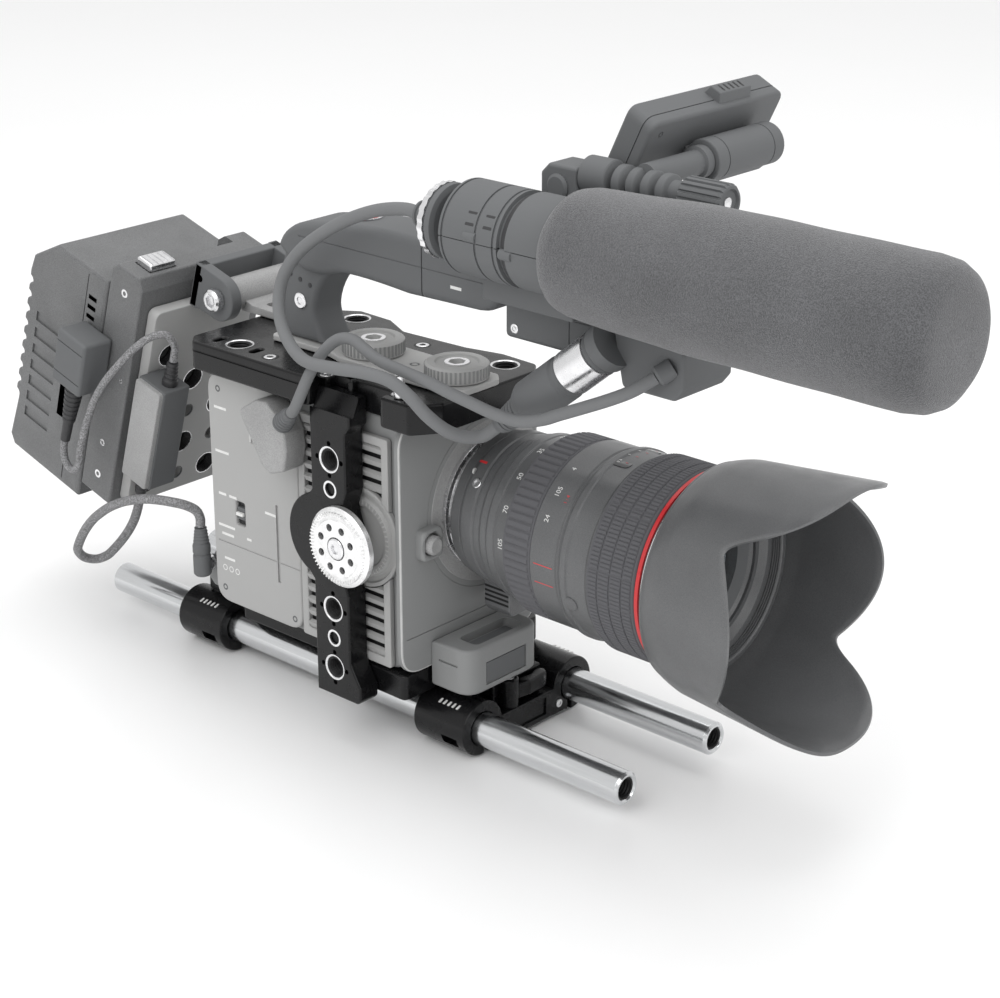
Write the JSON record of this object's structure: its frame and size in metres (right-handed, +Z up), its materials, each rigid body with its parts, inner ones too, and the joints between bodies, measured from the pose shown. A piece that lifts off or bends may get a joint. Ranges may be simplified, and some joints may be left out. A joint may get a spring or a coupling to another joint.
{
  "type": "cinema camera rig",
  "caption": "Cinema camera in a half cage on two support rods, with zoom lens and petal hood, top handle, foam-covered microphone, small monitor and tilted battery plate.",
  "frame": {"origin": "centre of the bottom of the box round the rigid pieces, on the surface that the rod clamps stand on", "axes": "+X forward along the lens, +Y to the camera's left, +Z up"},
  "size_m": [0.5362, 0.1504, 0.2966],
  "materials": {
    "black_anodised": "black anodised, satin",
    "rod_metal": "bright, finely turned",
    "silver_metal": "bright machined",
    "camera_shell": "fine speckled light grey",
    "camera_front": "fine speckled mid grey",
    "dark_plastic": "matte dark grey",
    "lens_barrel": "satin grey, reinforced plastic",
    "lens_rubber": "ribbed matte rubber",
    "coated_glass": "clear, coated",
    "foam": "open-cell foam",
    "cable_jacket": "matte jacket"
  },
  "bodies": {
    "caged_camera": {"battery_plate": "camera_shell", "cheese_plate": "camera_shell", "regulator_box": "camera_shell", "hinge_cheeks": "dark_plastic", "power_tap_plug": "dark_plastic", "front_rod_clamp": "black_anodised", "rear_rod_clamp": "black_anodised", "cage_top_plate": "black_anodised", "cage_right_post": "black_anodised", "cage_base_plate": "black_anodised", "rosette_disc": "silver_metal", "rosette_screw": "silver_metal", "tape_hook": "silver_metal", "hinge_base": "camera_shell", "camera_chassis": "camera_front", "right_side_cover": "camera_shell", "vent_grille": "camera_shell", "grip_socket_cap": "camera_shell", "front_bezel": "camera_front", "front_block": "camera_front", "rear_battery_bay": "camera_front", "lens_mount": "silver_metal", "lens_adapter": "lens_barrel", "lens_barrel": "lens_barrel", "handle_grip": "dark_plastic", "handle_foot": "camera_shell", "audio_input_block": "dark_plastic", "mic_holder_base": "dark_plastic", "mic_body": "dark_plastic", "mic_connector": "silver_metal", "windscreen": "foam", "xlr_plug": "dark_plastic", "monitor_arm_base": "dark_plastic", "monitor_plug": "dark_plastic", "camera_power_plug": "dark_plastic", "mic_cable": "cable_jacket", "monitor_cable": "cable_jacket", "power_in_cable": "cable_jacket", "power_out_cable": "cable_jacket"},
    "right_rod": {"right_rod": "rod_metal"},
    "left_rod": {"left_rod": "rod_metal"},
    "clamp_lever": {"clamp_lever": "black_anodised"},
    "zoom_ring": {"zoom_ring": "lens_rubber"},
    "focus_ring": {"focus_ring": "lens_rubber"},
    "front_barrel": {"front_barrel": "lens_barrel", "front_element": "coated_glass"},
    "lens_hood": {"lens_hood": "lens_barrel"},
    "lens_release_button": {"lens_release_button": "camera_front"},
    "timecode_switch": {"timecode_switch": "dark_plastic"},
    "record_button": {"record_button": "silver_metal"},
    "front_foot_knob": {"front_foot_knob": "camera_shell"},
    "rear_foot_knob": {"rear_foot_knob": "camera_shell"},
    "mic_holder_cap": {"mic_holder_cap": "dark_plastic"},
    "monitor_arm": {"monitor_arm": "dark_plastic"},
    "monitor": {"monitor_panel": "dark_plastic", "monitor_hinge_barrel": "dark_plastic"},
    "monitor_arm_knob": {"monitor_arm_knob": "dark_plastic"},
    "battery": {"battery": "camera_shell"},
    "battery_latch": {"battery_latch": "silver_metal"},
    "hinge_lock_screw": {"hinge_lock_screw": "silver_metal"}
  },
  "joints": [
    {"name": "right_rod_slide", "type": "slide", "parent": "caged_camera", "child": "right_rod", "axis": [1, 0, 0], "range_m": [-0.07, 0.05]},
    {"name": "left_rod_slide", "type": "slide", "parent": "caged_camera", "child": "left_rod", "axis": [1, 0, 0], "range_m": [-0.07, 0.05]},
    {"name": "clamp_lever_turn", "type": "hinge", "parent": "caged_camera", "child": "clamp_lever", "pos_m": [0.02415, 0.00425, 0.02067], "axis": [0, 0, 1], "range_deg": [-100, 0]},
    {"name": "zoom_turn", "type": "hinge", "parent": "caged_camera", "child": "zoom_ring", "pos_m": [0.05715, 0.01225, 0.10567], "axis": [1, 0, 0], "range_deg": [0, 70]},
    {"name": "front_barrel_extend", "type": "slide", "parent": "caged_camera", "child": "front_barrel", "axis": [1, 0, 0], "range_m": [0, 0.03]},
    {"name": "focus_turn", "type": "hinge", "parent": "caged_camera", "child": "focus_ring", "pos_m": [0.10815, 0.01225, 0.10567], "axis": [1, 0, 0], "range_deg": [-60, 60]},
    {"name": "hood_bayonet", "type": "hinge", "parent": "front_barrel", "child": "lens_hood", "pos_m": [0.13015, 0.01225, 0.10567], "axis": [1, 0, 0], "range_deg": [0, 60]},
    {"name": "lens_release_press", "type": "slide", "parent": "caged_camera", "child": "lens_release_button", "axis": [-1, 0, 0], "range_m": [0, 0.0015], "stiffness_N_per_m": 800},
    {"name": "timecode_switch_slide", "type": "slide", "parent": "caged_camera", "child": "timecode_switch", "axis": [0, 0, 1], "range_m": [-0.0025, 0.0025]},
    {"name": "record_press", "type": "slide", "parent": "caged_camera", "child": "record_button", "axis": [0, 0, -1], "range_m": [0, 0.0018], "stiffness_N_per_m": 800},
    {"name": "front_foot_knob_turn", "type": "hinge", "parent": "caged_camera", "child": "front_foot_knob", "pos_m": [0.01415, -0.01675, 0.17367], "axis": [0, 0, 1], "continuous": true},
    {"name": "rear_foot_knob_turn", "type": "hinge", "parent": "caged_camera", "child": "rear_foot_knob", "pos_m": [-0.03485, -0.01675, 0.17367], "axis": [0, 0, 1], "continuous": true},
    {"name": "mic_cap_open", "type": "hinge", "parent": "caged_camera", "child": "mic_holder_cap", "pos_m": [0.06815, -0.02915, 0.24817], "axis": [-1, 0, 0], "range_deg": [0, 35]},
    {"name": "monitor_arm_swivel", "type": "hinge", "parent": "caged_camera", "child": "monitor_arm", "pos_m": [0.11015, -0.01575, 0.26767], "axis": [1, 0, 0], "range_deg": [-20, 75]},
    {"name": "monitor_tilt", "type": "hinge", "parent": "monitor_arm", "child": "monitor", "pos_m": [0.11065, 0.04225, 0.27117], "axis": [0, 1, 0], "range_deg": [-40, 40]},
    {"name": "monitor_arm_knob_turn", "type": "hinge", "parent": "monitor_arm", "child": "monitor_arm_knob", "pos_m": [0.14015, -0.01575, 0.26767], "axis": [1, 0, 0], "continuous": true},
    {"name": "battery_slide", "type": "slide", "parent": "caged_camera", "child": "battery", "axis": [0.2924, 0, 0.9563], "range_m": [0, 0.09]},
    {"name": "battery_latch_press", "type": "slide", "parent": "caged_camera", "child": "battery_latch", "axis": [-0.2924, 0, -0.9563], "range_m": [0, 0.0025], "stiffness_N_per_m": 800},
    {"name": "hinge_lock_turn", "type": "hinge", "parent": "caged_camera", "child": "hinge_lock_screw", "pos_m": [-0.13357, 0.00225, 0.17467], "axis": [0, 1, 0], "continuous": true}
  ],
  "couplings": [
    {"joint": "front_barrel_extend", "follows": "zoom_turn", "m_per_rad": 0.024555}
  ]
}
